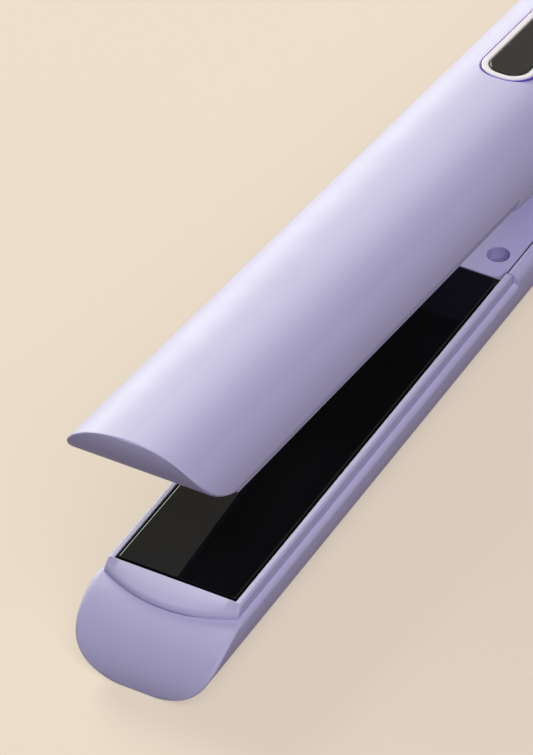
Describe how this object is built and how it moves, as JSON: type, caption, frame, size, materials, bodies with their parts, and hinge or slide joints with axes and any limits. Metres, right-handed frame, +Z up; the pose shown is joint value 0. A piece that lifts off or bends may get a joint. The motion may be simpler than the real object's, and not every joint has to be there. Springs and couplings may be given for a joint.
{
  "type": "flat plate hair iron",
  "caption": "Hair iron with two oval arms on a sprung rear hinge, floating dark heated plates, a display window, three buttons and a swivelling cord gland.",
  "frame": {"origin": "middle of the whole length and width, on the surface that the lower arm lies on", "axes": "+Z up, -X towards the tip, +X towards the hinge and the cord gland, Y along the hinge axis"},
  "size_m": [0.2816, 0.031, 0.059],
  "materials": {
    "lilac_body": "satin lilac, smooth moulding",
    "lilac_frame": "satin lilac",
    "lilac_cover": "satin lilac, slightly deeper",
    "plate_coating": "black ceramic coat, mirror gloss",
    "heater_ceramic": "fired ceramic",
    "mica": "mica sheet",
    "spring_steel": "bright rolled steel",
    "black_component": "moulded epoxy",
    "tray": "heat-resistant moulding",
    "silicone": "silicone rubber",
    "lead_sleeve": "glass fibre sleeve",
    "screw_steel": "zinc plated",
    "circuit_board": "green solder mask",
    "capacitor": "moulded box",
    "gland": "satin, deeper lilac",
    "display_ring": "white satin with a violet outer line",
    "display_glass": "smoked window, high gloss",
    "button": "satin lilac"
  },
  "bodies": {
    "lower_arm": {"lower_shell": "lilac_body", "lower_plate_frame": "lilac_frame", "lower_inner_cover": "lilac_cover", "lower_heater_tray": "tray", "lower_front_pad": "silicone", "lower_rear_pad": "silicone", "lower_heater_lead": "lead_sleeve", "lower_screw_left": "screw_steel", "lower_screw_right": "screw_steel", "lower_screw_rear": "screw_steel", "power_board": "circuit_board", "mains_capacitor": "capacitor", "heater_triac": "black_component", "mains_fuse": "black_component", "hinge_pin": "screw_steel", "hinge_cap_left": "lilac_frame", "hinge_cap_right": "lilac_frame", "opening_spring": "spring_steel", "gland_bush": "gland"},
    "lower_plate": {"lower_heating_plate": "plate_coating", "lower_ceramic_heater": "heater_ceramic", "lower_mica_sheet": "mica", "lower_heater_clip": "spring_steel", "lower_thermistor": "black_component"},
    "upper_arm": {"upper_shell": "lilac_body", "upper_plate_frame": "lilac_frame", "upper_inner_cover": "lilac_cover", "upper_heater_tray": "tray", "upper_front_pad": "silicone", "upper_rear_pad": "silicone", "upper_heater_lead": "lead_sleeve", "upper_screw_left": "screw_steel", "upper_screw_right": "screw_steel", "upper_screw_rear": "screw_steel", "display_ring": "display_ring", "display_glass": "display_glass", "display_board": "circuit_board", "display_module": "black_component", "power_switch": "black_component", "warmer_switch": "black_component", "cooler_switch": "black_component"},
    "upper_plate": {"upper_heating_plate": "plate_coating", "upper_ceramic_heater": "heater_ceramic", "upper_mica_sheet": "mica", "upper_heater_clip": "spring_steel", "upper_thermistor": "black_component"},
    "power_key": {"power_button": "button"},
    "warmer_key": {"warmer_button": "button"},
    "cooler_key": {"cooler_button": "button"},
    "swivel": {"cord_gland": "gland", "gland_clip": "spring_steel"}
  },
  "joints": [
    {"name": "arm_hinge", "type": "hinge", "parent": "lower_arm", "child": "upper_arm", "pos_m": [0.1158, 0, 0.01596], "axis": [0, 1, 0], "range_deg": [-6.1, 0], "stiffness_Nm_per_rad": 1, "springref_deg": 28.65, "deforming": ["opening_spring"]},
    {"name": "lower_plate_float", "type": "slide", "parent": "lower_arm", "child": "lower_plate", "axis": [0, 0, -1], "range_m": [0, 0.0005], "stiffness_N_per_m": 4000, "springref_m": -0.002, "deforming": ["lower_front_pad", "lower_rear_pad"]},
    {"name": "upper_plate_float", "type": "slide", "parent": "upper_arm", "child": "upper_plate", "axis": [0.1063, 0, 0.9943], "range_m": [0, 0.0005], "stiffness_N_per_m": 4000, "springref_m": -0.002, "deforming": ["upper_front_pad", "upper_rear_pad"]},
    {"name": "power_press", "type": "slide", "parent": "upper_arm", "child": "power_key", "axis": [-0.1063, 0, -0.9943], "range_m": [0, 0.0004], "stiffness_N_per_m": 600, "springref_m": -0.002},
    {"name": "warmer_press", "type": "slide", "parent": "upper_arm", "child": "warmer_key", "axis": [-0.1063, 0, -0.9943], "range_m": [0, 0.0004], "stiffness_N_per_m": 600, "springref_m": -0.002},
    {"name": "cooler_press", "type": "slide", "parent": "upper_arm", "child": "cooler_key", "axis": [-0.1063, 0, -0.9943], "range_m": [0, 0.0004], "stiffness_N_per_m": 600, "springref_m": -0.002},
    {"name": "cord_swivel", "type": "hinge", "parent": "lower_arm", "child": "swivel", "pos_m": [0.1325, 0, 0.01596], "axis": [1, 0, 0], "continuous": true}
  ]
}
